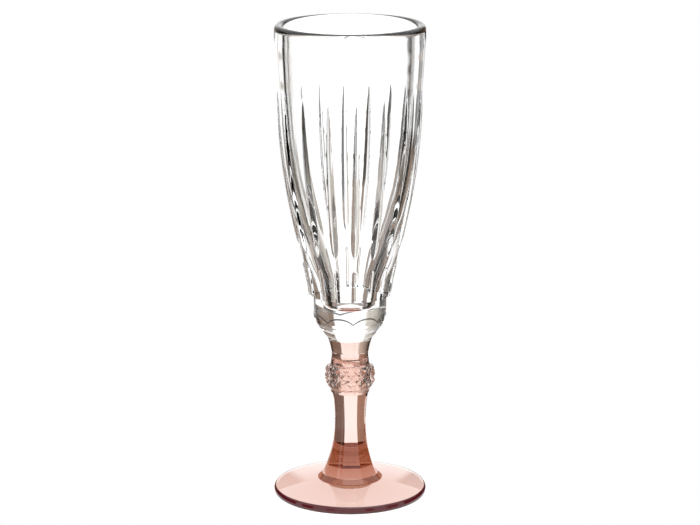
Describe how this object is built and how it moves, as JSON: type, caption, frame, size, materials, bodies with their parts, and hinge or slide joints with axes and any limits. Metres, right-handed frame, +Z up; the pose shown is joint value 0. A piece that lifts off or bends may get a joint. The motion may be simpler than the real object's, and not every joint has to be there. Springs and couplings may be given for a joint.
{
  "type": "champagne flute",
  "caption": "Stemmed pressed-glass champagne flute: tall clear ribbed bowl on a tinted faceted stem with a studded knop and a round foot.",
  "frame": {"origin": "centre of the flat underside of the foot, on the axis of the glass", "axes": "+Z up along the axis of the glass; the glass is round, so +X and +Y are equal"},
  "size_m": [0.066, 0.066, 0.205],
  "materials": {
    "clear_glass": "polished clear",
    "rose_glass": "polished, pink tint"
  },
  "bodies": {
    "root": {"foot": "rose_glass", "stem": "rose_glass", "knop": "rose_glass", "bowl": "clear_glass"}
  },
  "joints": []
}
